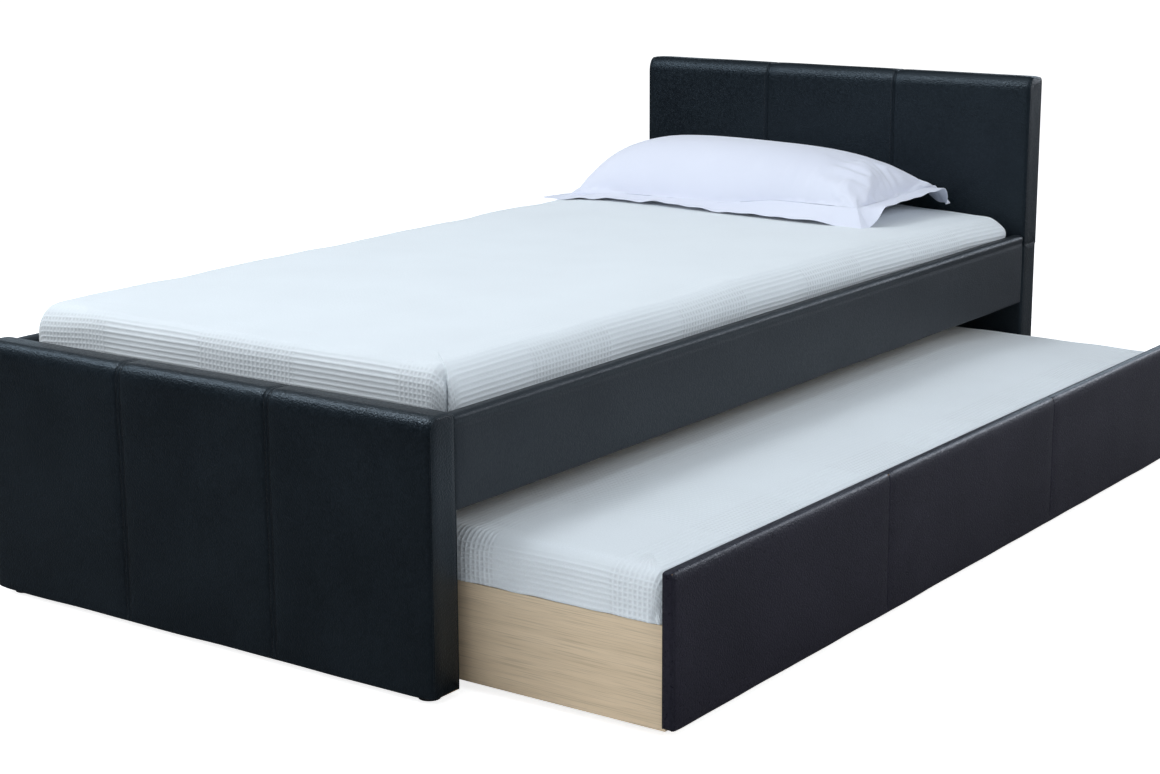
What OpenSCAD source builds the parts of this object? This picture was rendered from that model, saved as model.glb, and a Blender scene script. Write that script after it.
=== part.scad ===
// Upholstered single bed with a trundle that rolls out from under one side.
// Millimetres. +Y points to the headboard, +X to the side the trundle rolls out of, +Z up.
// The origin is on the floor, at the middle of the outline of bed and trundle together.

/* [Bed] */
// Width over the headboard and the footboard
bed_w = 965; // [940:5:1000]
// Length over the headboard and the footboard
bed_l = 2065; // [2050:5:2120]
// Height of the headboard
head_h = 768; // [650:1:950]
// Height of the seam between the headboard's upper and lower covers
head_seam_z = 416; // [380:1:430]
// Height of the footboard
foot_h = 439; // [432:1:520]
// Thickness of the headboard and of the footboard
board_t = 60; // [55:1:70]
// Radius of the rolled top edges
edge_r = 15; // [8:1:18]
// Height of the glides under the headboard and the footboard
glide_h = 10; // [6:1:14]
// Radius of a glide
glide_r = 19; // [15:1:25]

/* [Side rails] */
// Thickness of a side rail with its cover
rail_t = 25; // [22:1:30]
// Height of a side rail's lower edge
rail_z = 288; // [280:1:295]
// Height of a side rail from edge to edge
rail_h = 145; // [130:1:150]
// How far a rail's outer face sits in from the sides of the bed
rail_inset = 3; // [2:1:8]
// Radius of a rail's rolled upper edges
rail_r = 7; // [4:1:10]

/* [Upholstery] */
// Thickness of the leather with its backing
cover_t = 1.5; // [1:0.5:2]
// Thickness of the foam on the headboard and the footboard
foam_t = 12; // [8:1:16]
// How far the headboard's lower cover sits in from the upper one
cover_tuck = 1.5; // [0.5:0.5:3]

/* [Slats] */
// Number of slats under the main mattress
slat_count = 14; // [10:1:16]
// Number of slats in the trundle
trundle_slat_count = 12; // [8:1:14]
// Width of a slat
slat_w = 70; // [50:5:80]
// Thickness of a slat
slat_t = 12; // [10:1:15]
// Height of the underside of the main slats
slat_z = 330; // [325:1:335]
// Width and height of the ledger strips that carry the main slats
ledger_s = 28; // [20:1:30]

/* [Bedding] */
// Thickness of a bedspread
spread_t = 3; // [2:1:4]
// Width over the main bedspread
main_w = 903; // [880:1:903]
// Length over the main bedspread
main_l = 1905; // [1880:5:1915]
// Height of the main mattress with its bedspread, above the slats
main_h = 152; // [120:1:200]
// Radius of the mattresses' soft edges
soft_r = 24; // [15:1:35]
// Width of the pillow, over its flange
pillow_w = 810; // [650:10:850]
// Depth of the pillow, over its flange
pillow_d = 440; // [400:10:460]
// Height of the pillow at its crown
pillow_h = 138; // [90:1:160]
// Distance of the pillow's middle from the bed's middle, across the bed
pillow_x = -55; // [-60:5:60]
// Distance of the pillow's middle from the bed's middle, along the bed
pillow_y = 728; // [700:1:735]

/* [Trundle] */
// How far the trundle is rolled out
trundle_out = 370; // [0:10:600]
// Length of the trundle's leather front panel
front_l = 1909; // [1850:1:1930]
// Thickness of the leather front panel
front_t = 20; // [18:1:25]
// Height of the front panel's lower edge
front_z = 20; // [15:1:30]
// Height of the front panel's upper edge
front_top = 254; // [240:1:270]
// How far the closed front panel sits in from the side of the bed
front_inset = 2.5; // [0:0.5:10]
// Length over the trundle's end boards
box_l = 1888; // [1840:2:1900]
// Depth of the trundle's box behind the front panel
box_d = 900; // [860:5:920]
// Height of the box boards' lower edges
box_z = 13; // [10:1:20]
// Height of the end boards' upper edges
box_top = 170; // [160:1:180]
// Height of the back board's upper edge, which keeps the mattress in
back_top = 205; // [180:1:230]
// Thickness of the box boards
plank_t = 16; // [15:1:19]
// Height of the trundle's mattress with its bedspread, above the box
trundle_soft_h = 82; // [70:1:100]

/* [Casters] */
// Radius of a caster's wheel
wheel_r = 25; // [20:1:28]
// Width of a caster's wheel
wheel_w = 18; // [14:1:22]
// Radius of a caster's axle
axle_r = 3; // [2.5:0.5:4]

/* [Hidden] */
$fn = 48;

leather = "#1b1e24";
rail_leather = "#2a2f36";
foam_yellow = "#e6d9a8";
raw_timber = "#cfb07c";
hardboard = "#7d5c3c";
light_oak = "#c6ad85";
white_cloth = "#e9edf2";
webbing = "#d8d8d2";
steel = "#9a9da1";
black_plastic = "#17181a";
grey_rubber = "#3b3d40";

// Middle of the bed, and of the rolled-out trundle, across the origin's X axis
bed_x = -(trundle_out - front_inset) / 2;
trundle_x = bed_x + trundle_out;
inner_l = bed_l - 2 * board_t;

// The frames inside the headboard and the footboard
sheet_t = 4;
post_w = 60;
crossrail_h = 60;
frame_z = glide_h + cover_t;
foot_frame_w = bed_w - 2 * cover_t;
head_frame_w = bed_w - 2 * (cover_t + cover_tuck);
head_frame_t = board_t - cover_tuck;
glide_x = bed_w / 2 - 35;

// Side rails, and what joins them to the posts
rail_l = inner_l - 1;
rail_in = bed_w / 2 - rail_inset - rail_t;
bracket_t = 2.5;
bracket_z = 345;
bracket_h = 75;
bracket_w = 38;
bracket_head_r = 4;
bolt_r = 4;
bolt_gap = 0.3;
bolt_l = 38;
bolt_hole_l = bolt_l + 1;
bolt_x = rail_in - 17;
bolt_head_h = 5;
bolt_heights = [362, 403];
insert_r = 6;
insert_l = 16;

// Slats and ledgers
ledger_l = inner_l - 60;
slat_l = 2 * rail_in - 3;
tape_w = 25;
tape_t = 1.2;
tape_x = 290;
screw_r = 2;
touch = 0.3;

// Main bedding
main_y = -2.5;
main_z = slat_z + slat_t + touch;
skirt_gap = 6;
pillow_edge = 16;

// Trundle, in the coordinates of the closed trundle
front_x = bed_w / 2 - front_inset - front_t;
front_foam_t = 2;
box_x = front_x - box_d;
box_in_l = box_l - 2 * plank_t;
box_in_d = box_d - 2 * plank_t;
box_mid_x = box_x + box_d / 2;
trundle_slat_z = box_top - slat_t;
trundle_ledger_h = 30;
trundle_ledger_w = 25;
block_s = 60;
block_z = 64;
trundle_spread_w = box_d - plank_t - 1;
trundle_spread_x = front_x - 0.5 - trundle_spread_w / 2;
panel_screw_z = 90;
panel_screw_pitch = 320;

// Casters
caster_x = [box_x + plank_t + block_s / 2, front_x - plank_t - block_s / 2];
caster_y = box_in_l / 2 - block_s / 2;
fork_t = 2;
fork_w = 26;
plate_s = 52;
tyre_in_r = wheel_r - 5.5;
bore_gap = 0.05;
fork_half = wheel_w / 2 + 1.5;

// ---- Helpers ----

// Stretches an outline, drawn across Y and up Z, along X
module along_x(length) rotate([90, 0, 90]) linear_extrude(length, center = true) children();

// Stretches an outline, drawn across X and up Z, along Y
module along_y(length) rotate([90, 0, 0]) linear_extrude(length, center = true) children();

// Outline of an upright board with both upper edges rolled over
module rolled_outline(thick, low, high, r) {
    translate([0, low]) square([thick, high - r - low]);
    translate([r, high - 2 * r]) square([thick - 2 * r, 2 * r]);
    for (y = [r, thick - r]) translate([y, high - r]) circle(r);
}

// Places a board that is drawn with its outer or inner face at Y = 0
module at_foot() translate([bed_x, -bed_l / 2, 0]) children();
module at_head() translate([bed_x, bed_l / 2 - board_t, 0]) children();
module at_bed() translate([bed_x, 0, 0]) children();
module at_trundle() translate([trundle_x, 0, 0]) children();

// Repeats a corner part, drawn at +X and +Y, at the four corners
module at_corners() for (x = [0, 1], y = [0, 1]) mirror([x, 0, 0]) mirror([0, y, 0]) children();

// Box with an upright middle: centred across X and Y, and standing on Z = low
module block(size_x, size_y, low, high)
    translate([-size_x / 2, -size_y / 2, low]) cube([size_x, size_y, high - low]);

// Rectangle with rounded corners, centred on X, with its lower edge at Y = low
module soft_outline(width, low, high, r) {
    translate([-width / 2, low + r]) square([width, high - low - 2 * r]);
    translate([-width / 2 + r, low]) square([width - 2 * r, high - low]);
    for (x = [-1, 1], y = [low + r, high - r]) translate([x * (width / 2 - r), y]) circle(r);
}

// Soft block with rounded edges all round
module soft_block(size_x, size_y, low, high, r) intersection() {
    along_y(size_y) soft_outline(size_x, low, high, r);
    along_x(size_x) soft_outline(size_y, low, high, r);
    translate([0, 0, low]) linear_extrude(high - low)
        soft_outline(size_x, -size_y / 2, size_y / 2, r);
}

// Wood screw with its head at the origin and its shank along -Z
module wood_screw(length, head_r = 2 * screw_r, head_h = 2) {
    translate([0, 0, -head_h]) cylinder(h = head_h, r = head_r, $fn = 24);
    translate([0, 0, -length]) cylinder(h = length - head_h, r = screw_r, $fn = 24);
}

// ---- Frames inside the headboard and the footboard ----

module board_posts(width, thick, high)
    for (x = [-width / 2, width / 2 - post_w])
        translate([x, cover_t + foam_t + sheet_t, frame_z])
            cube([post_w, thick - 2 * (cover_t + sheet_t) - foam_t, high - edge_r - frame_z]);

module board_crossrails(width, thick, heights)
    for (z = heights)
        translate([-width / 2 + post_w, cover_t + foam_t + sheet_t, z])
            cube([width - 2 * post_w, thick - 2 * (cover_t + sheet_t) - foam_t, crossrail_h]);

module board_sheets(width, thick, high)
    for (y = [cover_t + foam_t, thick - cover_t - sheet_t])
        translate([-width / 2, y, frame_z]) cube([width, sheet_t, high - edge_r - frame_z]);

module board_foam(width, thick, high)
    along_x(width) difference() {
        translate([cover_t, 0])
            rolled_outline(thick - 2 * cover_t, frame_z, high - cover_t, edge_r - cover_t);
        translate([cover_t + foam_t, 0]) square([thick, high - edge_r]);
    }

// Hollow that a cover leaves for what it wraps
module cover_hollow(width, thick, low, high)
    along_x(width - 2 * cover_t) translate([cover_t, 0])
        rolled_outline(thick - 2 * cover_t, low, high - cover_t, edge_r - cover_t);

// Repeats a part at the rail bolts of the headboard (end = 1) or the footboard (end = -1).
// It is drawn with +Z pointing into the board, from the board's inner face.
module at_bolts(end) at_bed() for (side = [-1, 1], z = bolt_heights)
    translate([side * bolt_x, end * inner_l / 2, z]) rotate([-90 * end, 0, 0]) children();

// Holes for the rail bolts in both boards
module bolt_holes(radius)
    for (end = [-1, 1]) at_bolts(end)
        translate([0, 0, -1]) cylinder(h = bolt_hole_l + 1, r = radius);

// ---- Headboard ----

module headboard_posts() color(raw_timber) difference() {
    at_head() board_posts(head_frame_w, head_frame_t, head_h);
    bolt_holes(insert_r);
}

module headboard_crossrails() color(raw_timber)
    at_head() board_crossrails(head_frame_w, head_frame_t,
        [frame_z, head_seam_z - crossrail_h / 2, head_h - edge_r - crossrail_h]);

module headboard_sheets() color(hardboard) difference() {
    at_head() board_sheets(head_frame_w, head_frame_t, head_h);
    bolt_holes(bolt_r + bolt_gap);
}

module headboard_foam() color(foam_yellow) difference() {
    at_head() board_foam(head_frame_w, head_frame_t, head_h);
    bolt_holes(bolt_r + bolt_gap);
}

module headboard_upper_cover() color(leather) at_head() intersection() {
    difference() {
        along_x(bed_w) rolled_outline(board_t, glide_h, head_h, edge_r);
        cover_hollow(bed_w, board_t, 0, head_h);
    }
    translate([0, board_t / 2, 0]) block(2 * bed_w, 2 * board_t, head_seam_z, 2 * head_h);
}

module headboard_lower_cover() color(leather) difference() {
    at_head() translate([0, head_frame_t / 2, 0])
        block(bed_w - 2 * cover_tuck, head_frame_t, glide_h, head_seam_z);
    at_head() translate([0, head_frame_t / 2, 0])
        block(head_frame_w, head_frame_t - 2 * cover_t, frame_z, head_seam_z + 1);
    bolt_holes(bolt_r + bolt_gap);
}

// ---- Footboard ----

module footboard_posts() color(raw_timber) difference() {
    at_foot() board_posts(foot_frame_w, board_t, foot_h);
    bolt_holes(insert_r);
}

module footboard_crossrails() color(raw_timber)
    at_foot() board_crossrails(foot_frame_w, board_t, [frame_z, foot_h - edge_r - crossrail_h]);

module footboard_sheets() color(hardboard) difference() {
    at_foot() board_sheets(foot_frame_w, board_t, foot_h);
    bolt_holes(bolt_r + bolt_gap);
}

module footboard_foam() color(foam_yellow)
    at_foot() board_foam(foot_frame_w, board_t, foot_h);

module footboard_cover() color(leather) difference() {
    at_foot() along_x(bed_w) rolled_outline(board_t, glide_h, foot_h, edge_r);
    at_foot() cover_hollow(bed_w, board_t, frame_z, foot_h);
    bolt_holes(bolt_r + bolt_gap);
}

module glides() color(black_plastic)
    at_bed() at_corners() translate([glide_x, (bed_l - board_t) / 2, 0])
        cylinder(h = glide_h, r1 = glide_r - 2, r2 = glide_r);

// ---- Side rails ----

// A rail or its filling, drawn between its inner and outer faces, inset all round
module rail_block(side, inset)
    at_bed() mirror([side < 0 ? 1 : 0, 0, 0]) translate([rail_in + inset, 0, 0])
        along_y(rail_l - 2 * inset)
            rolled_outline(rail_t - 2 * inset, rail_z + inset, rail_z + rail_h - inset, rail_r - inset);

module rail_board(side) color(raw_timber) rail_block(side, cover_t);

module rail_cover(side) color(rail_leather) difference() {
    rail_block(side, 0);
    rail_block(side, cover_t);
}

module ledger(side) color(raw_timber)
    at_bed() translate([side * (rail_in - ledger_s / 2), 0, 0])
        block(ledger_s, ledger_l, slat_z - ledger_s, slat_z);

module ledger_screws() color(steel)
    at_bed() for (side = [-1, 1], i = [-3 : 3])
        translate([side * (rail_in - ledger_s), i * (ledger_l - 80) / 6, slat_z - ledger_s / 2])
            rotate([0, -90 * side, 0]) wood_screw(ledger_s + 17);

// ---- Slats ----

module slat_row(count, length, span, low)
    for (i = [0 : count - 1])
        translate([0, -span / 2 + slat_w / 2 + i * (span - slat_w) / (count - 1), 0])
            block(length, slat_w, low, low + slat_t);

module main_slats() color(raw_timber)
    at_bed() slat_row(slat_count, slat_l, ledger_l, slat_z);

module main_slat_tapes() color(webbing)
    at_bed() for (side = [-1, 1]) translate([side * tape_x, 0, 0])
        block(tape_w, ledger_l, slat_z - tape_t, slat_z);

// ---- Brackets and bolts between rails and posts ----

module rail_brackets() color(steel) difference() {
    at_bed() at_corners() {
        translate([rail_in - bracket_t, inner_l / 2 - 45, bracket_z])
            cube([bracket_t, 45, bracket_h]);
        translate([rail_in - bracket_w, inner_l / 2 - bracket_t, bracket_z])
            cube([bracket_w, bracket_t, bracket_h]);
    }
    bracket_screw_places() translate([0, 0, -bracket_t - 1])
        cylinder(h = bracket_t + 2, r = bracket_head_r + 0.1, $fn = 24);
    for (end = [-1, 1]) at_bolts(end)
        translate([0, 0, -bracket_t - 1]) cylinder(h = bracket_t + 2, r = bolt_r + bolt_gap);
}

module bracket_screw_places()
    at_bed() at_corners() for (z = [15, bracket_h / 2, bracket_h - 15])
        translate([rail_in - bracket_t, inner_l / 2 - 28, bracket_z + z])
            rotate([0, -90, 0]) children();

module bracket_screws() color(steel)
    bracket_screw_places() wood_screw(20, bracket_head_r, bracket_t);

module rail_bolts() color(black_plastic)
    for (end = [-1, 1]) at_bolts(end) translate([0, 0, -bracket_t]) {
        cylinder(h = bolt_l, r = bolt_r);
        difference() {
            translate([0, 0, -bolt_head_h]) cylinder(h = bolt_head_h, r = 7);
            translate([0, 0, -bolt_head_h - 1]) cylinder(h = 4, r = 2.9, $fn = 6);
        }
    }

// Threaded inserts, flush with the posts' faces: the headboard is padded on this side
module post_inserts() color(steel) difference() {
    for (end = [-1, 1]) at_bolts(end)
        translate([0, 0, cover_t + sheet_t + (end > 0 ? foam_t : 0)])
            cylinder(h = insert_l, r = insert_r - bore_gap);
    bolt_holes(bolt_r + bore_gap);
}

// ---- Bedding on the bed ----

module main_mattress() color(white_cloth)
    at_bed() translate([0, main_y, 0])
        soft_block(main_w - 2 * spread_t, main_l - 2 * spread_t,
                   main_z, main_z + main_h - spread_t, soft_r - spread_t);

// A bedspread: a skin over the top and the sides of a soft block, open underneath
module bedspread(size_x, size_y, skirt_z, high, r) difference() {
    soft_block(size_x, size_y, skirt_z - 2 * r, high, r);
    soft_block(size_x - 2 * spread_t, size_y - 2 * spread_t, skirt_z - 3 * r, high - spread_t,
               r - spread_t);
    block(2 * size_x, 2 * size_y, skirt_z - 4 * r, skirt_z);
}

module main_bedspread() color(white_cloth)
    at_bed() translate([0, main_y, 0])
        bedspread(main_w, main_l, main_z + skirt_gap, main_z + main_h, soft_r);

module pillow() color(white_cloth)
    translate([bed_x + pillow_x, pillow_y, main_z + main_h + touch]) hull() {
        linear_extrude(pillow_edge) soft_outline(pillow_w, -pillow_d / 2, pillow_d / 2, 30, $fn = 32);
        translate([0, 0, pillow_h / 2])
            scale([pillow_w / 2 - 70, pillow_d / 2 - 45, pillow_h / 2]) sphere(1, $fn = 32);
    }

// ---- Trundle box ----

module trundle_front_board() color(hardboard)
    at_trundle() translate([front_x + cover_t, -front_l / 2 + cover_t, front_z + cover_t])
        cube([front_t - 2 * cover_t - front_foam_t, front_l - 2 * cover_t,
              front_top - front_z - 2 * cover_t]);

module trundle_front_foam() color(foam_yellow)
    at_trundle() translate([front_x + front_t - cover_t - front_foam_t,
                            -front_l / 2 + cover_t, front_z + cover_t])
        cube([front_foam_t, front_l - 2 * cover_t, front_top - front_z - 2 * cover_t]);

module trundle_front_cover() color(leather) at_trundle() difference() {
    translate([front_x, -front_l / 2, front_z]) cube([front_t, front_l, front_top - front_z]);
    translate([front_x + cover_t, -front_l / 2 + cover_t, front_z + cover_t])
        cube([front_t - 2 * cover_t, front_l - 2 * cover_t, front_top - front_z - 2 * cover_t]);
}

module trundle_box_front() color(light_oak)
    at_trundle() translate([front_x - plank_t / 2, 0, 0]) block(plank_t, box_in_l, box_z, box_top);

module trundle_box_back() color(light_oak)
    at_trundle() translate([box_x + plank_t / 2, 0, 0]) block(plank_t, box_in_l, box_z, back_top);

module trundle_end(side) color(light_oak)
    at_trundle() translate([box_mid_x, side * (box_l - plank_t) / 2, 0])
        block(box_d, plank_t, box_z, box_top);

module trundle_corner_blocks() color(raw_timber)
    at_trundle() for (x = caster_x, side = [-1, 1])
        translate([x, side * caster_y, 0])
            block(block_s, block_s, block_z, trundle_slat_z - trundle_ledger_h);

module trundle_ledgers() color(raw_timber)
    at_trundle() for (side = [-1, 1])
        translate([box_mid_x + side * (box_in_d - trundle_ledger_w) / 2, 0, 0])
            block(trundle_ledger_w, box_in_l, trundle_slat_z - trundle_ledger_h, trundle_slat_z);

module trundle_slats() color(raw_timber)
    at_trundle() translate([box_mid_x, 0, 0])
        slat_row(trundle_slat_count, box_in_d - 2, box_in_l - 8, trundle_slat_z);

module trundle_slat_tapes() color(webbing)
    at_trundle() for (side = [-1, 1]) translate([box_mid_x + side * tape_x, 0, 0])
        block(tape_w, box_in_l - 8, trundle_slat_z - tape_t, trundle_slat_z);

module front_panel_screws() color(steel)
    at_trundle() for (i = [-2.5 : 2.5])
        translate([front_x - plank_t - 2, i * panel_screw_pitch, panel_screw_z])
            rotate([0, -90, 0]) wood_screw(30);

module corner_block_screws() color(steel)
    at_trundle() for (x = caster_x, side = [-1, 1], dx = [-15, 15])
        translate([x + dx, side * (caster_y - block_s / 2), (block_z + trundle_slat_z) / 2 - 15])
            rotate([90 * side, 0, 0]) wood_screw(block_s + plank_t - 4);

// ---- Bedding on the trundle ----

module trundle_mattress() color(white_cloth)
    at_trundle() translate([trundle_spread_x, 0, 0])
        soft_block(trundle_spread_w - 2 * spread_t, box_l - 2 * spread_t,
                   box_top + touch, box_top + trundle_soft_h - spread_t, soft_r - spread_t);

module trundle_bedspread() color(white_cloth)
    at_trundle() translate([trundle_spread_x, 0, 0])
        bedspread(trundle_spread_w, box_l, box_top + touch, box_top + trundle_soft_h, soft_r);

// ---- Casters ----

module at_casters() at_trundle() for (x = caster_x, side = [-1, 1])
    translate([x, side * caster_y, 0]) children();

// Fixed fork: a plate under the corner block, with a leg on each side of the wheel
module caster_forks() color(steel) at_casters() difference() {
    union() {
        block(plate_s, plate_s, block_z - fork_t, block_z);
        for (side = [-1, 1]) translate([0, side * (fork_half + fork_t / 2), 0])
            along_y(fork_t) {
                translate([-fork_w / 2, wheel_r]) square([fork_w, block_z - fork_t - wheel_r]);
                translate([0, wheel_r]) circle(fork_w / 2);
            }
    }
    translate([0, 0, wheel_r]) rotate([90, 0, 0])
        cylinder(h = 2 * wheel_w, r = axle_r + bore_gap, center = true);
    for (x = [-1, 1], y = [-1, 1]) translate([x * 21, y * 21, block_z - fork_t - 1])
        cylinder(h = fork_t + 2, r = screw_r + 0.2, $fn = 24);
}

module caster_axles() color(steel) at_casters()
    translate([0, 0, wheel_r]) rotate([90, 0, 0]) {
        cylinder(h = 2 * (fork_half + fork_t), r = axle_r, center = true);
        for (side = [-1, 1]) translate([0, 0, side * (fork_half + fork_t + 0.75)])
            cylinder(h = 1.5, r = axle_r + 2, center = true);
    }

module caster_screws() color(steel) at_casters()
    for (x = [-1, 1], y = [-1, 1]) translate([x * 21, y * 21, block_z - fork_t - 2])
        mirror([0, 0, 1]) wood_screw(18);

module wheel_hub(i, side) color(black_plastic)
    at_trundle() translate([caster_x[i], side * caster_y, wheel_r]) rotate([90, 0, 0])
        difference() {
            cylinder(h = wheel_w - 1, r = tyre_in_r, center = true);
            cylinder(h = wheel_w + 1, r = axle_r + bore_gap, center = true);
            for (face = [-1, 1]) translate([0, 0, face * (wheel_w / 2 - 2)])
                rotate_extrude() translate([axle_r + 4, -2]) square([tyre_in_r - axle_r - 7, 4]);
        }

module wheel_tyre(i, side) color(grey_rubber)
    at_trundle() translate([caster_x[i], side * caster_y, wheel_r]) rotate([90, 0, 0])
        rotate_extrude($fn = 96) difference() {
            translate([tyre_in_r, -wheel_w / 2]) square([wheel_r - tyre_in_r, wheel_w]);
            for (face = [-1, 1]) translate([wheel_r, face * wheel_w / 2]) rotate(45)
                square(3, center = true);
        }

headboard_posts();
headboard_crossrails();
headboard_sheets();
headboard_foam();
headboard_upper_cover();
headboard_lower_cover();
footboard_posts();
footboard_crossrails();
footboard_sheets();
footboard_foam();
footboard_cover();
glides();
rail_board(1);  // right_rail_board
rail_cover(1);  // right_rail_cover
rail_board(-1);  // left_rail_board
rail_cover(-1);  // left_rail_cover
ledger(1);  // right_ledger
ledger(-1);  // left_ledger
ledger_screws();
main_slats();
main_slat_tapes();
rail_brackets();
bracket_screws();
rail_bolts();
post_inserts();
main_mattress();
main_bedspread();
pillow();
trundle_front_board();
trundle_front_foam();
trundle_front_cover();
trundle_box_front();
trundle_box_back();
trundle_end(-1);  // trundle_foot_end
trundle_end(1);  // trundle_head_end
trundle_corner_blocks();
trundle_ledgers();
trundle_slats();
trundle_slat_tapes();
front_panel_screws();
corner_block_screws();
trundle_mattress();
trundle_bedspread();
caster_forks();
caster_axles();
caster_screws();
wheel_hub(1, -1);  // front_foot_hub
wheel_tyre(1, -1);  // front_foot_tyre
wheel_hub(1, 1);  // front_head_hub
wheel_tyre(1, 1);  // front_head_tyre
wheel_hub(0, -1);  // back_foot_hub
wheel_tyre(0, -1);  // back_foot_tyre
wheel_hub(0, 1);  // back_head_hub
wheel_tyre(0, 1);  // back_head_tyre
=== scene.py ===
import math
from dataclasses import dataclass

import bmesh
import bpy
import numpy as np
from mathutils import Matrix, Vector
from mathutils.geometry import delaunay_2d_cdt


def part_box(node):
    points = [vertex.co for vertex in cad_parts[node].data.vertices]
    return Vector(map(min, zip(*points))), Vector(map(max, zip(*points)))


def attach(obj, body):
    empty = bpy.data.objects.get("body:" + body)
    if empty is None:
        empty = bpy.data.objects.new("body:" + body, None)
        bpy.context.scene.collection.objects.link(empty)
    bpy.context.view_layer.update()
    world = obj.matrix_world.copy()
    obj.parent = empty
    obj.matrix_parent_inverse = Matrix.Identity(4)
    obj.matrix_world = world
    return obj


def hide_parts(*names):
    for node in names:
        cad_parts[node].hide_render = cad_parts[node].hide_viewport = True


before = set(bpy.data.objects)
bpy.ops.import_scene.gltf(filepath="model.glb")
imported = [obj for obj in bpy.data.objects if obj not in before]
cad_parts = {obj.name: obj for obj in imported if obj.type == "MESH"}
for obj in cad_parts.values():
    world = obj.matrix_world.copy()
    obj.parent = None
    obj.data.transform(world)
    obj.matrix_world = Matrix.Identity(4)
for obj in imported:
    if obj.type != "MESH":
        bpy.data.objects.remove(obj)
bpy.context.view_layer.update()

scene = bpy.context.scene
MM = 0.001
TURN = 2 * math.pi

# ---- Where things are, from the frame ----
foot_low, foot_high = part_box("footboard_cover")
head_low, head_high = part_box("headboard_upper_cover")
under_low, under_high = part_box("headboard_lower_cover")
rail_low, rail_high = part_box("right_rail_cover")
left_low, left_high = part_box("left_rail_cover")
spread_low, spread_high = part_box("main_bedspread")
mattress_low, mattress_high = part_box("main_mattress")
pillow_low, pillow_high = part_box("pillow")
front_low, front_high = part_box("trundle_front_cover")
guest_low, guest_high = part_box("trundle_bedspread")
guest_pad_low, guest_pad_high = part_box("trundle_mattress")
bed_mid = (foot_low.x + foot_high.x) / 2

# ---- The weave of the bedspreads, and the mattresses' soft upper edges (width, height) ----
RIB = 8.6 * MM          # from one rib to the next
PLAID = 414 * MM        # from one ribbed band to the next
RIB_HEIGHT = 0.6 * MM
COARSE = 16 * MM        # from one column of points to the next between ribbed bands
MAIN_ROLL = (46 * MM, 52 * MM)
GUEST_ROLL = (38 * MM, 40 * MM)


# ======== Materials ========

class Shader:
    """A material, with short ways to add nodes and to join them."""

    def __init__(self, name, **sockets):
        self.material = bpy.data.materials.new(name)
        self.material.use_nodes = True
        self.tree = self.material.node_tree
        self.bsdf = self.tree.nodes["Principled BSDF"]
        for socket, value in sockets.items():
            self.bsdf.inputs[socket.replace("_", " ")].default_value = value

    def add(self, kind, inputs, **settings):
        """Adds a node. Inputs maps a socket to a value or to another node's output."""
        made = self.tree.nodes.new("ShaderNode" + kind)
        for key, value in settings.items():
            setattr(made, key, value)
        for key, value in inputs.items():
            if isinstance(value, bpy.types.NodeSocket):
                self.tree.links.new(value, made.inputs[key])
            else:
                made.inputs[key].default_value = value
        return made

    def place(self, scale=(1, 1, 1)):
        """The object's own coordinates in metres, stretched by scale."""
        where = self.add("TexCoord", {}).outputs["Object"]
        return self.add("Mapping", {"Vector": where, "Scale": scale}).outputs[0]

    def noise(self, where, scale, detail=2.0, rough=0.5):
        inputs = {"Vector": where, "Scale": scale, "Detail": detail, "Roughness": rough}
        return self.add("TexNoise", inputs).outputs[0]

    def waves(self, where, scale, distortion=0.0, detail=2.0, direction="X"):
        inputs = {"Vector": where, "Scale": scale, "Distortion": distortion, "Detail": detail}
        return self.add("TexWave", inputs, bands_direction=direction).outputs["Fac"]

    def maths(self, operation, a, b=0.0):
        return self.add("Math", {0: a, 1: b}, operation=operation).outputs[0]

    def times(self, a, b):
        return self.maths("MULTIPLY", a, b)

    def span(self, value, low, high, to_low=0.0, to_high=1.0):
        """Maps value from low..high to to_low..to_high, and stops at the ends."""
        inputs = {"Value": value, "From Min": low, "From Max": high,
                  "To Min": to_low, "To Max": to_high}
        return self.add("MapRange", inputs).outputs[0]

    def mix(self, share, first, second):
        """Blends two colours; each is (r, g, b) or a node's output."""
        ends = [c if isinstance(c, bpy.types.NodeSocket) else (*c, 1) for c in (first, second)]
        return self.add("Mix", {0: share, 6: ends[0], 7: ends[1]}, data_type="RGBA").outputs[2]

    def tint(self, value, low, high, share, first, second):
        """Blends from first towards second, up to share, as value goes from low to high."""
        return self.mix(self.span(value, low, high, 0.0, share), first, second)

    def drive(self, socket, value):
        self.tree.links.new(value, self.bsdf.inputs[socket])

    def colour(self, value):
        self.drive("Base Color", value)

    def roughness(self, value, low, high, at_low, at_high):
        self.drive("Roughness", self.span(value, low, high, at_low, at_high))

    def bump(self, height, distance, strength=1.0, under=None):
        """Adds relief: height from 0 to 1 stands for distance in metres."""
        inputs = {"Height": height, "Distance": distance, "Strength": strength}
        if under is not None:
            inputs["Normal"] = under
        made = self.add("Bump", inputs).outputs[0]
        self.drive("Normal", made)
        return made


def darker(colour, share):
    return [c * share for c in colour]


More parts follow.
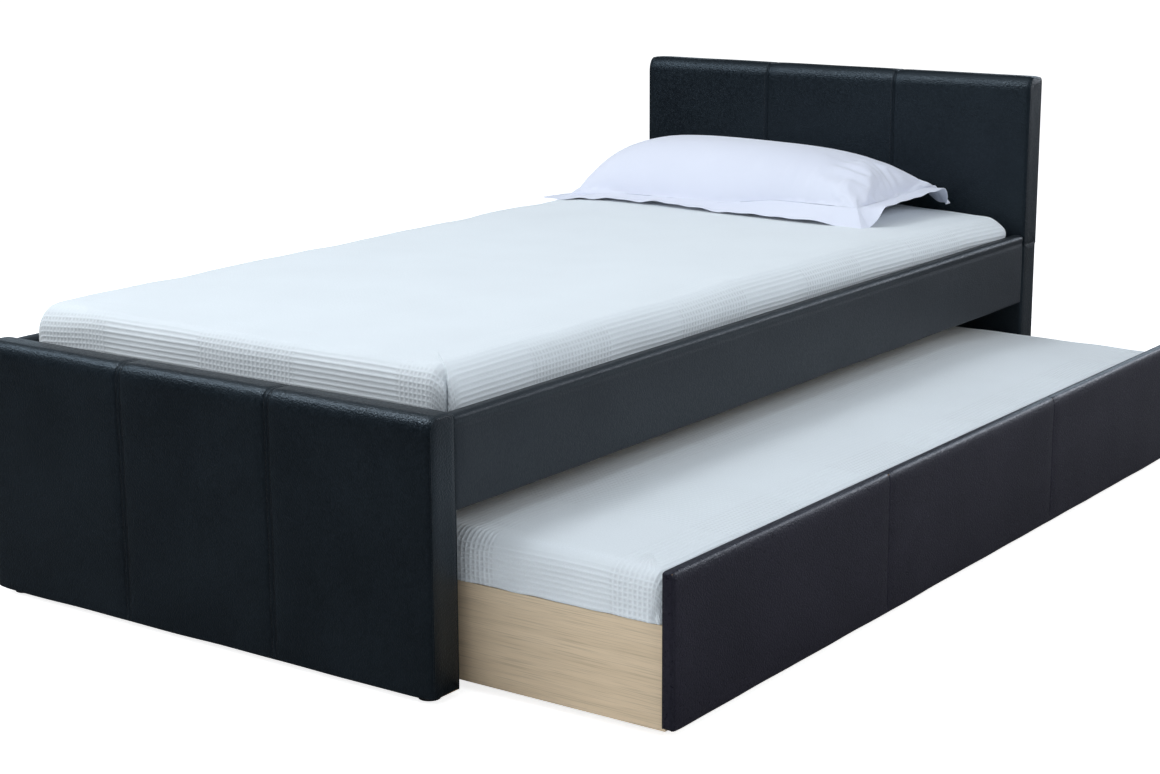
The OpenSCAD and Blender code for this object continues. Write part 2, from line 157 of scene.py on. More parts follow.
def leather(name, dark, light, gloss, grain):
    """Grained faux leather: pebbles about 2 mm across, cloudy colour, cool satin gloss."""
    made = Shader(name, Specular_IOR_Level=0.42, Specular_Tint=(0.76, 0.89, 1.0, 1))
    where = made.place()
    cloud = made.noise(where, 7.0, 3.0)
    mottle = made.noise(where, 190.0, 3.0, 0.65)
    pebbles = made.add("TexVoronoi", {"Vector": where, "Scale": 360.0, "Smoothness": 0.5},
                       feature="SMOOTH_F1").outputs["Distance"]
    folds = made.noise(where, 45.0)
    tone = made.maths("ADD", made.times(cloud, 0.4), made.times(mottle, 0.6))
    base = made.tint(tone, 0.38, 0.62, 1.0, dark, light)
    made.colour(made.tint(pebbles, 0.25, 0.65, 0.45, base, darker(dark, 0.55)))
    made.roughness(mottle, 0.35, 0.65, gloss - 0.07, gloss + 0.09)
    under = made.bump(folds, 0.5 * MM, 0.2)
    under = made.bump(mottle, 0.8 * MM, grain * 0.6, under)
    made.bump(made.span(pebbles, 0.1, 0.8, 1.0, 0.0), 0.7 * MM, grain, under)
    return made


def woven(name, colour, shade, scale, distortion, direction, relief, strength, **sockets):
    """Plain twisted or woven yarn: thread and tape."""
    made = Shader(name, **sockets)
    yarn = made.waves(made.place(), scale, distortion, direction=direction)
    made.colour(made.mix(yarn, darker(colour, shade), colour))
    made.bump(yarn, relief, strength)
    return made


def waffle_cloth(name, colour, shade):
    """Waffle weave in a plaid of ribs and square cells, with painted shade in its hollows. It follows
    the cloth's own threads.
    """
    made = Shader(name, Roughness=0.9, Specular_IOR_Level=0.25, Sheen_Weight=0.25,
                  Sheen_Roughness=0.5)
    cloth = made.add("Attribute", {}, attribute_name="cloth").outputs["Vector"]
    parts = made.add("SeparateXYZ", {"Vector": cloth}).outputs
    ridges, bands = [], []
    for axis in "XY":
        ridge = made.span(made.maths("COSINE", made.times(parts[axis], TURN / RIB)), -1.0, 1.0)
        ribbed = made.maths("COSINE", made.times(parts[axis], TURN / PLAID))
        bands.append(made.span(ribbed, -0.06, 0.06, 0.12, 1.0))
        ridges.append(made.times(made.maths("POWER", ridge, 1.5), bands[-1]))
    ridged, ribbed = made.maths("MAXIMUM", *ridges), made.maths("MAXIMUM", *bands)
    yarn = made.waves(cloth, 320.0, 2.0, 1.0)
    slub = made.noise(cloth, 420.0, 2.0, 0.7)
    cloud = made.noise(cloth, 6.0)
    # Painted shade: the hollows between the ribs are darkened, most where two ribbed bands cross, and
    # the plain cells get an even painted shade to match; it is thinner where the weave is pulled flat
    # on the top.
    hollow = made.times(made.maths("SUBTRACT", 1.0, ridged), ribbed)
    depth = made.maths("ADD", made.times(made.times(*bands), 0.38), 0.16)
    dark = made.maths("ADD", made.times(hollow, depth),
                      made.times(made.maths("SUBTRACT", 1.0, ribbed), 0.14))
    base = made.mix(made.times(dark, parts["Z"]), colour, shade)
    base = made.tint(slub, 0.35, 0.7, 0.3, base, shade)
    made.colour(made.tint(cloud, 0.3, 0.7, 0.12, base, shade))
    under = made.bump(yarn, 0.25 * MM, 0.3)
    under = made.bump(slub, 0.4 * MM, 0.3, under)
    made.bump(made.times(ridged, parts["Z"]), 1.0 * MM, 0.65, under)
    return made


def percale(name, colour, shade):
    """Smooth close cotton, as on a pillowcase."""
    made = Shader(name, Roughness=0.82, Specular_IOR_Level=0.3, Sheen_Weight=0.3,
                  Sheen_Roughness=0.4)
    where = made.place()
    weave = made.noise(where, 1500.0, 1.0)
    crease = made.noise(where, 26.0, 3.0, 0.55)
    base = made.tint(made.noise(where, 5.0), 0.3, 0.7, 0.5, colour, shade)
    made.colour(made.tint(weave, 0.3, 0.7, 0.15, base, shade))
    made.bump(weave, 0.15 * MM, 0.4, made.bump(crease, 2.5 * MM, 0.12))
    return made


def ticking(name, colour, stripe):
    """Mattress ticking: a close twill with fine woven stripes."""
    made = Shader(name, Roughness=0.85, Sheen_Weight=0.2)
    where = made.place()
    twill = made.waves(where, 260.0, 0.4, direction="DIAGONAL")
    made.colour(made.tint(made.waves(where, 16.0), 0.9, 0.97, 0.8, colour, stripe))
    made.bump(twill, 0.3 * MM, 0.4)
    return made


def wood(name, light, dark, along, gloss=0.5, pores=0.5):
    """Straight-grained wood or wood laminate; its grain runs along X (0) or Y (1)."""
    made = Shader(name, Specular_IOR_Level=0.4)
    coarse, fine = [46.0] * 3, [644.0] * 3
    coarse[along], fine[along] = 1.6, 9.0
    warp = made.noise(made.place((0.9, 0.9, 4.0)), 3.0)
    grain_place = made.add("VectorMath", {0: made.place(coarse), 1: (1, 1, 1)}, operation="ADD")
    grain = made.add("TexNoise", {"Vector": grain_place.outputs[0], "Scale": 1.0, "Detail": 6.0,
                                  "Roughness": 0.62, "Distortion": 0.35}).outputs[0]
    streaks = made.noise(made.place(fine), 1.0, 2.0, 0.6)
    tone = made.maths("ADD", made.times(grain, 0.75), made.times(warp, 0.25))
    base = made.tint(tone, 0.28, 0.68, 1.0, dark, light)
    made.colour(made.tint(streaks, 0.5, 0.66, pores, base, darker(dark, 0.66)))
    made.roughness(grain, 0.3, 0.7, gloss + 0.08, gloss - 0.04)
    made.bump(made.span(streaks, 0.45, 0.75, 1.0, 0.0), 0.12 * MM, 0.5)
    return made


def foam(name, colour):
    """Open-cell foam."""
    made = Shader(name, Roughness=0.95)
    cells = made.add("TexVoronoi", {"Vector": made.place(), "Scale": 700.0}).outputs["Distance"]
    made.colour(made.mix(made.span(cells, 0.1, 0.6, 0.5, 0.0), colour, darker(colour, 0.7)))
    made.bump(cells, 0.6 * MM, 0.6)
    return made


def metal(name, colour, gloss, metallic=1.0):
    """Plated or painted steel, with faint brushing and smudges."""
    made = Shader(name, Metallic=metallic)
    lines = made.noise(made.place((40.0, 40.0, 900.0)), 1.0)
    smudge = made.noise(made.place(), 30.0, 3.0)
    made.colour(made.tint(smudge, 0.3, 0.7, 0.4, colour, darker(colour, 0.75)))
    made.roughness(smudge, 0.3, 0.7, gloss - 0.06, gloss + 0.1)
    made.bump(lines, 0.05 * MM, 0.5)
    return made


def moulded(name, colour, gloss, grain):
    """Moulded plastic or rubber with a fine spark-eroded texture."""
    made = Shader(name, Specular_IOR_Level=0.4)
    speckle = made.noise(made.place(), grain)
    scuff = made.noise(made.place(), 60.0, 3.0)
    made.colour(made.tint(scuff, 0.4, 0.7, 0.5, colour, [c * 1.6 + 0.004 for c in colour]))
    made.roughness(speckle, 0.3, 0.7, gloss - 0.06, gloss + 0.08)
    made.bump(speckle, 0.08 * MM, 0.4)
    return made


black_leather = leather("black_leather", (0.0032, 0.0058, 0.0088), (0.0088, 0.0138, 0.0190),
                        0.36, 0.55)
rail_leather = leather("rail_leather", (0.0120, 0.0150, 0.0192), (0.0172, 0.0212, 0.0268),
                       0.46, 0.25)
front_leather = leather("front_leather", (0.0140, 0.0115, 0.0200), (0.0240, 0.0200, 0.0320),
                        0.34, 0.4)
black_thread = woven("black_thread", (0.010, 0.012, 0.016), 0.6, 900.0, 1.0, "DIAGONAL",
                     0.15 * MM, 0.5, Roughness=0.6, Sheen_Weight=0.2)
white_tape = woven("white_tape", (0.70, 0.70, 0.66), 0.75, 260.0, 0.6, "Y", 0.4 * MM, 0.6,
                   Roughness=0.85)
bed_waffle = waffle_cloth("bed_waffle", (0.79, 0.845, 0.88), (0.57, 0.60, 0.63))
pillow_cotton = percale("pillow_cotton", (0.75, 0.775, 0.875), (0.69, 0.715, 0.82))
mattress_ticking = ticking("mattress_ticking", (0.78, 0.79, 0.80), (0.42, 0.48, 0.58))
oak_x, oak_y = [wood("light_oak_" + "xy"[along], (0.79, 0.635, 0.45), (0.63, 0.49, 0.33), along)
                for along in (0, 1)]
pine_x, pine_y = [wood("pine_" + "xy"[along], (0.66, 0.49, 0.28), (0.50, 0.33, 0.16), along,
                       gloss=0.65, pores=0.3) for along in (0, 1)]
brown_board = wood("brown_board", (0.24, 0.13, 0.06), (0.17, 0.09, 0.04), along=0, gloss=0.6)
yellow_foam = foam("yellow_foam", (0.80, 0.72, 0.42))
zinc = metal("zinc", (0.56, 0.57, 0.59), 0.32)
black_steel = metal("black_steel", (0.03, 0.03, 0.032), 0.42, metallic=0.6)
black_plastic = moulded("black_plastic", (0.011, 0.011, 0.013), 0.5, 900.0)
grey_rubber = moulded("grey_rubber", (0.06, 0.06, 0.065), 0.7, 500.0)

# The looks of the CAD nodes, and how far their edges are eased in mm, by how their names end
CAD_LOOKS = {
    pine_x: ("slats", "crossrails"),
    pine_y: ("rail_board", "_ledger", "_ledgers", "corner_blocks", "posts"),
    oak_x: ("_end",),
    oak_y: ("_box_front", "_box_back"),
    brown_board: ("sheets", "front_board"),
    yellow_foam: ("foam",),
    white_tape: ("tapes",),
    zinc: ("screws", "brackets", "inserts", "forks", "axles"),
    black_steel: ("bolts",),
    black_plastic: ("glides", "_hub"),
    grey_rubber: ("_tyre",),
}
EASED_EDGES = {"slats": 2.5, "_end": 0.8, "_box_front": 0.8, "_box_back": 0.8,
               "_ledger": 1.5, "rail_brackets": 0.4}


def dress_cad_nodes():
    """Gives the CAD nodes that stay their materials, and eases the edges of the timber."""
    for name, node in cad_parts.items():
        for look, endings in CAD_LOOKS.items():
            if name.endswith(endings):
                node.data.materials.clear()
                node.data.materials.append(look.material)
        for ending, radius in EASED_EDGES.items():
            if name.endswith(ending):
                bevel = node.modifiers.new("eased_edges", "BEVEL")
                bevel.width = radius * MM
                bevel.segments = 2
                bevel.angle_limit = math.radians(50)


# ======== Mesh helpers ========

def build_mesh(name, points, faces, look=None, merge=0.01 * MM, shortest=None, stored=None):
    """A smooth mesh with its doubled points merged and its faces turned outwards."""
    mesh = bpy.data.meshes.new(name)
    mesh.from_pydata(points.tolist(), [], faces)
    if look:
        mesh.materials.append(look.material)
    if stored is not None:
        mesh.attributes.new("cloth", "FLOAT_VECTOR", "POINT").data.foreach_set(
            "vector", stored.ravel())
    work = bmesh.new()
    work.from_mesh(mesh)
    bmesh.ops.remove_doubles(work, verts=work.verts, dist=merge)
    if shortest:
        bmesh.ops.dissolve_degenerate(work, edges=work.edges, dist=shortest)
    bmesh.ops.recalc_face_normals(work, faces=work.faces)
    work.to_mesh(mesh)
    work.free()
    mesh.polygons.foreach_set("use_smooth", [True] * len(mesh.polygons))
    return mesh


def put_in_scene(name, data):
    made = bpy.data.objects.new(name, data)
    scene.collection.objects.link(made)
    return made


def make_piece(name, mesh, body, replaces):
    made = put_in_scene(name, mesh)
    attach(made, body)
    if replaces:
        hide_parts(*replaces)
    return made


class Surface:
    """Collects points and faces, and turns them into one piece."""

    def __init__(self):
        self.points, self.faces, self.count = np.empty((0, 3)), [], 0

    def add(self, points, faces):
        points = np.asarray(points, float).reshape(-1, 3)
        self.points = np.concatenate([self.points, points])
        self.faces += [[i + self.count for i in face] for face in faces]
        self.count = len(self.points)

    def close(self, first, count):
        """Closes a round of points, from the first one on, with one face."""
        self.faces.append(list(range(first, first + count)))

    def grid(self, points, round_rows=False):
        """Joins rows of points with four-sided faces; round_rows closes each row."""
        rows, columns = points.shape[:2]
        across = columns if round_rows else columns - 1
        faces = [(r * columns + c, r * columns + (c + 1) % columns,
                  (r + 1) * columns + (c + 1) % columns, (r + 1) * columns + c)
                 for r in range(rows - 1) for c in range(across)]
        self.add(points, faces)

    def tube(self, path, radius, sides=8):
        """A round cord along a path, closed at both ends."""
        path = np.asarray(path, float)
        ahead = np.gradient(path, axis=0)
        ahead /= np.linalg.norm(ahead, axis=1)[:, None]
        side = np.cross(ahead, [0.31, 0.17, 0.93])
        side /= np.linalg.norm(side, axis=1)[:, None]
        over = np.cross(side, ahead)
        angles = np.arange(sides)[:, None] * TURN / sides
        around = np.cos(angles) * side[:, None] + np.sin(angles) * over[:, None]
        first = self.count
        self.grid(path[:, None] + radius * around, round_rows=True)
        self.close(first, sides)
        self.close(self.count - sides, sides)

    def fill(self, first, xs, ys, height):
        """Fills the round of points from first on with a grid of xs and ys, and gives its plan."""
        ring = self.points[first:, :2]
        kept = np.nonzero(np.linalg.norm(ring - np.roll(ring, 1, 0), axis=1) > 0.05 * MM)[0]
        middle = np.stack(np.meshgrid(xs, ys), -1).reshape(-1, 2)
        flat = [Vector(p) for p in np.concatenate([ring[kept], middle]).tolist()]
        border = [(i, (i + 1) % len(kept)) for i in range(len(kept))]
        _, _, faces, sources, _, _ = delaunay_2d_cdt(flat, border, [], 1, 1e-7)
        index = np.concatenate([kept + first, np.arange(len(middle)) + self.count])
        index = [int(index[source[0]]) for source in sources]
        self.add(np.column_stack([middle, height(*middle.T)]), [])
        self.faces += [[index[i] for i in face] for face in faces]
        return middle

    def make(self, name, body, look, slot, replaces=()):
        mesh = build_mesh(name, self.points, self.faces, look, shortest=0.005 * MM)
        mesh.set_sharp_from_angle(angle=math.radians(55))
        return make_piece(name, mesh, body, replaces)


def uneven(a, b, seed):
    """Smooth unevenness, mostly within -1 and 1: a few crossing waves about one unit long."""
    draws = np.random.default_rng(seed)
    total = 0
    for angle, phase, size in draws.uniform((0, 0, 0.6), (TURN, TURN, 1.5), (7, 3)):
        total = total + np.sin((a * math.cos(angle) + b * math.sin(angle)) * TURN * size + phase)
    return total / 3


def dip(distance, width):
    """1 at distance 0, and falls to nothing past width."""
    return np.exp(-(distance / width) ** 2)


def ramp(value, low, high):
    """0 up to low, 1 from high on, and a smooth step between them."""
    share = np.clip((value - low) / (high - low), 0, 1)
    return share * share * (3 - 2 * share)


def spaced(low, high, step):
    """Even positions from low to high, both included, no further apart than step."""
    return np.linspace(low, high, max(2, int(math.ceil((high - low) / step)) + 1))


# ======== Padded leather boards ========

class Outline:
    """A board's cross-section: from the foot of its front face, over the top, down its back.

    Depth is 0 at the front face. roll is the depth and height of the front's rolled top edge.
    """

    def __init__(self, thick, low, high, roll, back_roll, foot_roll=3 * MM, step=12 * MM):
        def arc(depth, height, size, start):
            angles = np.radians(np.linspace(start, start - 90, 9))
            return (depth, height) + size * np.stack([np.cos(angles), np.sin(angles)], 1)
        front_line = spaced(low + foot_roll, high - roll[1], step)[1:-1]
        back_line = spaced(low + foot_roll, high - back_roll, step * 2)[1:-1][::-1]
        points = np.concatenate([
            arc(foot_roll, low + foot_roll, foot_roll, 270),
            np.stack([front_line * 0, front_line], 1),
            arc(roll[0], high - roll[1], np.array(roll), 180),
            arc(thick - back_roll, high - back_roll, back_roll, 90),
            np.stack([back_line * 0 + thick, back_line], 1),
            arc(thick - foot_roll, low + foot_roll, foot_roll, 0)])
        self.depth, self.height = points.T
        ahead = np.roll(points, -1, 0) - np.roll(points, 1, 0)
        ahead /= np.linalg.norm(ahead, axis=1)[:, None]
        self.out_depth, self.out_height = -ahead[:, 1], ahead[:, 0]
        steps = np.linalg.norm(np.diff(points, axis=0), axis=1)
        self.along = np.concatenate([[0], np.cumsum(steps)])
        self.thick, self.low, self.high = thick, low, high
        # How much of the padding shows: all of it in front, none on the back
        self.soft = 1 - ramp(self.depth, thick * 0.45, thick * 0.95)


@dataclass
class Board:
    """A padded board: an outline stretched along its width, crowned between its seams."""
    place: object                       # gives the place for across, depth and height
    width: float
    outline: Outline
    seams: tuple = ()
    seed: int = 1
    crown: float = 2.0 * MM
    edge: tuple = (12 * MM, 5 * MM)     # how far in the ends are rounded, and how deep
    seam_depth: float = 2.6 * MM
    grooves: tuple = (0.0,)             # where each seam's grooves are, from its middle
    extra: object = None                # more lift, at across and height

    def lift(self, across, along, height, soft):
        """How far the cover stands out from the outline."""
        to_end = np.maximum(self.width / 2 - np.abs(across), 0)
        share = 1 - np.minimum(to_end / self.edge[0], 1)
        rounding = self.edge[1] * (1 - np.sqrt(1 - share ** 2))
        inside = ramp(to_end, 0, 3 * self.edge[0])
        lift = self.crown * soft * (0.55 + 0.45 * inside)
        lift = lift + 0.5 * MM * soft * inside * uneven(across / 0.21, along / 0.17, self.seed)
        valley = 0.8 * self.crown
        pull = soft * ramp(height, self.outline.low, self.outline.low + 16 * MM)
        for number, seam in enumerate(self.seams):
            off = across - seam
            lift = lift - valley * pull * dip(off, 15 * MM)
            for groove in self.grooves:
                lift = lift - (self.seam_depth - valley) * pull * dip(off - groove, 2.4 * MM)
            puckers = uneven(along / 0.017, np.sign(off) * 3 + along * 0, self.seed + 7 + number)
            lift = lift + 0.30 * MM * pull * puckers * dip(np.abs(off) - 8 * MM, 9 * MM)
        if self.extra:
            lift = lift + self.extra(across, height) * soft
        return lift - rounding

    def at(self, across, along, out=0.0):
        """The place on the cover at a distance across and along the outline, raised by out."""
        line = self.outline
        depth, height, out_depth, out_height, soft = (
            np.interp(along, line.along, values) for values in
            (line.depth, line.height, line.out_depth, line.out_height, line.soft))
        lift = self.lift(across, along, height, soft) + out
        return self.place(across + 0 * along, depth + out_depth * lift, height + out_height * lift)

    def columns(self):
        """Positions across the board: close together at its ends and its seams."""
        half = self.width / 2
        ease = [0, 0.15, 0.5, 1.2, 2.4, 4, 6, 8.5, 12, 17, 24]
        near = [0, 0.8, 1.6, 2.4, 3.2, 4, 4.8, 5.6, 6.5, 7.5, 9, 11.5, 14.5, 18, 23, 30]
        ends = [half - e * self.edge[0] / 12 for e in ease]
        found = ends + [-e for e in ends] + spaced(-half + 24 * MM, half - 24 * MM, 22 * MM).tolist()
        for seam in self.seams:
            found = [f for f in found if abs(f - seam) > 30 * MM]
            found += [seam + side * n * MM for n in near for side in (-1, 1)]
        return np.array(sorted(set(np.round(found, 6))))

    def wrap(self, surface):
        surface.grid(self.at(self.columns()[:, None], self.outline.along[None]), round_rows=True)

    def gussets(self, surface, crown):
        """The flat ends, which swell by crown towards their middle line."""
        line = self.outline
        spine_depth = line.thick / 2
        reach = min(spine_depth, (line.high - line.low) / 2)
        spine_height = np.clip(line.height, line.low + reach, line.high - reach)
        for side in (-1, 1):
            end = side * self.width / 2
            rim, spine = self.at(end, line.along), self.place(end, spine_depth, spine_height)
            outward = side * crown * (self.place(1, 0, 0) - self.place(0, 0, 0))
            surface.grid(np.array([
                rim + (spine - rim) * share + outward * min(1.0, share / 0.25)
                for share in (0.0, 0.05, 0.12, 0.25, 0.5, 0.8, 0.97)]), round_rows=True)
            surface.close(surface.count - len(rim), len(rim))

    def welt(self, surface, side, radius):
        """The piping between the wrap and a gusset."""
        stops = self.outline.along
        along = np.linspace(stops[0], stops[-1], 3 * len(stops) - 3)
        surface.tube(self.at(side * (self.width / 2 - 1.2 * MM), along, 0.1 * MM), radius)

    def filling(self, surface, thick=13.5 * MM, top=15 * MM, end=4 * MM):
        """The foam under the cover: a slab in front, and one over the top down to the back."""
        line = self.outline
        last = len(line.along) - np.argmax((line.out_depth < 0.99)[::-1][9:]) - 9
        columns = np.clip(self.columns(), -self.width / 2 + end, self.width / 2 - end)
        columns = np.unique(columns)[:, None]
        inner = self.place(columns, thick, np.array([[line.high - top, line.low + 3 * MM]]))
        outer = self.at(columns, line.along[None, 9:last], -2.4 * MM)
        rows = np.concatenate([outer, inner], 1)
        first = surface.count
        surface.grid(rows, round_rows=True)
        around = rows.shape[1]
        surface.close(surface.count - around, around)
        surface.close(first, around)

    def stitches(self, surface, offsets):
        """Lines of thread beside each seam, up the front and over the top."""
        pitch, end = 6.5 * MM, self.outline.along[-1] * 0.56
        sunk = np.array([-0.35, 0.30, 0.30, -0.35]) * MM
        for seam in self.seams:
            for offset in offsets:
                for start in np.arange(6 * MM, end - pitch, pitch):
                    along = np.linspace(start, start + pitch * 0.66, 4)
                    surface.tube(self.at(seam + offset, along, sunk), 0.42 * MM, 6)


def facing_foot(front_y):
    """Places a board whose front faces the foot of the bed, at front_y."""
    return lambda across, depth, height: np.stack(
        np.broadcast_arrays(bed_mid + across, front_y + depth, height), -1)


def facing_side(outer_x, mid_y, direction=1):
    """Places a board whose front faces +X (direction 1) or -X (direction -1), at outer_x."""
    return lambda across, depth, height: np.stack(
        np.broadcast_arrays(outer_x - direction * depth, mid_y + across, height), -1)


def make_cover(name, board, body, look, slot, replaces, gusset=1.0 * MM, piping=None):
    """A board's leather cover: its wrap, its two flat ends and the piping between them."""
    surface = Surface()
    board.wrap(surface)
    board.gussets(surface, gusset)
    if piping:
        for side in (-1, 1):
            board.welt(surface, side, piping)
    surface.make(name, body, look, slot, [replaces])


def make_end_board(name, cover, low, high, outline, seed, seam_depth, grooves, threads):
    """The headboard or the footboard: its cover, the foam in it and the stitches beside its seams.

    threads is where the lines of stitches are, from the middle of each seam.
    """
    width = high.x - low.x
    board = Board(facing_foot(low.y), width, outline, (-width / 6, width / 6), seed,
                  seam_depth=seam_depth, grooves=grooves)
    make_cover(name + "_padding", board, "bed_frame", black_leather, "black_leather", cover,
               piping=1.3 * MM)
    filling, sewing = Surface(), Surface()
    board.filling(filling)
    filling.make(name + "_filling", "bed_frame", yellow_foam, "foam", [name + "_foam"])
    board.stitches(sewing, threads)
    sewing.make(name + "_stitching", "bed_frame", black_thread, "black_leather")


def make_headboard():
    outline = Outline(head_high.y - head_low.y, head_low.z - 8 * MM, head_high.z,
                      (20 * MM, 30 * MM), 13 * MM, foot_roll=1.5 * MM)
    make_end_board("headboard", "headboard_upper_cover", head_low, head_high, outline,
                   seed=3, seam_depth=4 * MM, grooves=(0.0,), threads=(-6 * MM,))
    outline = Outline(under_high.y - under_low.y, under_low.z, under_high.z + 1 * MM,
                      (2 * MM, 2 * MM), 2 * MM)
    skirt = Board(facing_foot(under_low.y), under_high.x - under_low.x + 3 * MM, outline,
                  seed=4, crown=1.0 * MM, edge=(8 * MM, 4 * MM))
    make_cover("headboard_skirt", skirt, "bed_frame", black_leather, "black_leather",
               "headboard_lower_cover")


def make_footboard():
    outline = Outline(foot_high.y - foot_low.y, foot_low.z, foot_high.z, (19 * MM, 26 * MM),
                      12 * MM)
    seams = (-4 * MM, 4 * MM)
    make_end_board("footboard", "footboard_cover", foot_low, foot_high, outline,
                   seed=5, seam_depth=3.4 * MM, grooves=seams, threads=seams)


def make_rail(name, low, high, direction):
    """A side rail: a piped upper edge, a crease below it, and a flat padded face."""
    def edge_roll(across, height):
        down = high.z - height
        return 0.8 * MM * dip(down - 7 * MM, 7 * MM) - 1.1 * MM * dip(down - 15 * MM, 4 * MM) \
            + 0.7 * MM * dip(down - 75 * MM, 60 * MM)
    outer = high.x if direction > 0 else low.x
    outline = Outline(high.x - low.x, low.z, high.z, (8 * MM, 8 * MM), 6 * MM, step=3 * MM)
    board = Board(facing_side(outer, (low.y + high.y) / 2, direction), high.y - low.y - 0.4 * MM,
                  outline, seed=8, crown=1.0 * MM, edge=(9 * MM, 1.4 * MM), extra=edge_roll)
    make_cover(name + "_rail_padding", board, "bed_frame", rail_leather, "rail_leather",
               name + "_rail_cover", gusset=0.0)


def make_trundle_front():
    length = front_high.y - front_low.y
    outline = Outline(front_high.x - front_low.x, front_low.z, front_high.z, (6 * MM, 24 * MM),
                      3 * MM)
    board = Board(facing_side(front_high.x, 0.0), length, outline, (-length / 6, length / 6),
                  seed=9, crown=1.6 * MM, edge=(8 * MM, 4 * MM), seam_depth=2.0 * MM)
    make_cover("trundle_front_padding", board, "trundle", front_leather, "front_leather",
               "trundle_front_cover", gusset=0.6 * MM, piping=0.9 * MM)
    filling, end = Surface(), length / 2 - 9 * MM
    across = np.clip(board.columns(), -end, end)[:, None]
    filling.grid(board.at(across, board.outline.along[None, 6:-12], -2.8 * MM))
    made = filling.make("trundle_front_filling", "trundle", yellow_foam, "foam",
                        ["trundle_front_foam"])
    depth = made.modifiers.new("depth", "SOLIDIFY")
    depth.thickness, depth.offset = 1 * MM, 0


# ======== Bedding ========

def band(thread_at):
    """1 inside the ribbed bands of the plaid and 0 between them."""
    return ramp(np.cos(thread_at * TURN / PLAID), -0.06, 0.06)


def waffle(u, v):
    """Height of the weave, 0 to 1, at cloth coordinates in metres."""
    ridges = [band(t) * ((1 + np.cos(t * TURN / RIB)) / 2) ** 1.5 for t in (u, v)]
    return np.maximum(*ridges)


def threads_between(low, high, shift, fine):
    """Positions from low to high: close together in ribbed bands, wide apart between them."""
    found = [low]
    while found[-1] < high:
        here = found[-1] + shift
        ribbed = max(band(here), band(here + COARSE)) > 0.02
        found.append(found[-1] + (fine if ribbed else COARSE))
    found[-1] = high
    return np.array(found)


def main_crown(x, y):
    """How the main mattress's top swells, and sinks under the pillow and at its head corner."""
    to_side = np.minimum(x - spread_low.x, spread_high.x - x)
    to_end = np.minimum(y - spread_low.y, spread_high.y - y)
    corner = dip(np.hypot(np.maximum(spread_high.x - x, 0), np.maximum(spread_high.y - y, 0)), 0.15)
    return 6 * MM * ramp(np.minimum(to_side, to_end), 0, 0.17) \
        + 0.8 * MM * uneven(x / 0.4, y / 0.4, 21) - 11 * MM * corner \
        - 10 * MM * ramp(y, 0.12, 0.75) * ramp(x - spread_low.x, 0.15, 0.7)


def guest_crown(x, y):
    """How the trundle mattress's top swells, and drops towards its head end."""
    to_side = np.minimum(x - guest_low.x, guest_high.x - x)
    return 4 * MM * ramp(to_side, 0, 0.17) - 6 * MM \
        + 0.8 * MM * uneven(x / 0.4, y / 0.4, 22) - 20 * MM * ramp(y, 0.6, 0.93)


